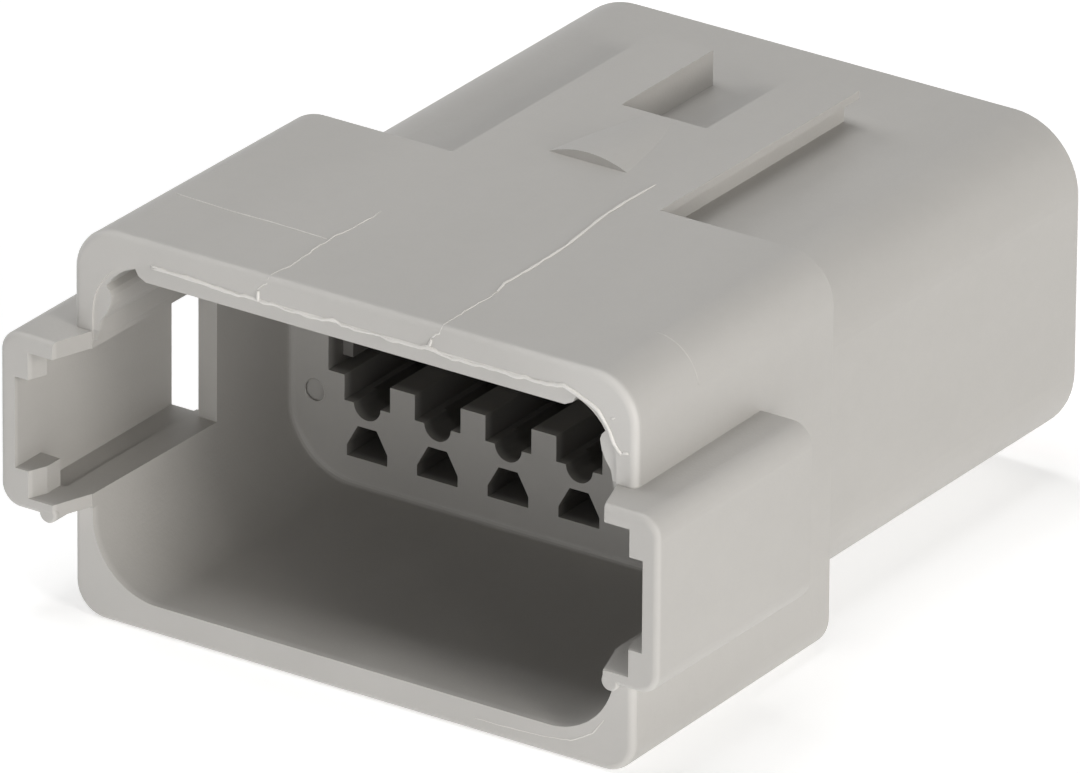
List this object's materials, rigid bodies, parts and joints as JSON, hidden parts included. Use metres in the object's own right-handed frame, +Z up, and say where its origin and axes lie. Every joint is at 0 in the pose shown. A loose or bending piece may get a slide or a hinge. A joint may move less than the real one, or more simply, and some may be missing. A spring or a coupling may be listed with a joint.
{
  "type": "sealed in-line connector receptacle housing",
  "caption": "Rectangular receptacle housing for sealed vehicle wiring: an open mating shroud with side latch channels, a two-row contact block, a clip rail on top and a rear wire seal.",
  "frame": {"origin": "middle of the outer box in X and Y, on the plane of the shroud's flat underside, which is the lowest face", "axes": "+X is the width across the latch channels, +Y runs from the mating mouth to the wire side, +Z is up, towards the clip rail"},
  "size_m": [0.0424, 0.048, 0.0235],
  "materials": {
    "housing": "fine spark-eroded mould texture, light warm grey",
    "wire_seal": "smooth matt silicone, brick orange"
  },
  "bodies": {
    "root": {"housing": "housing", "wire_seal": "wire_seal"}
  },
  "joints": []
}
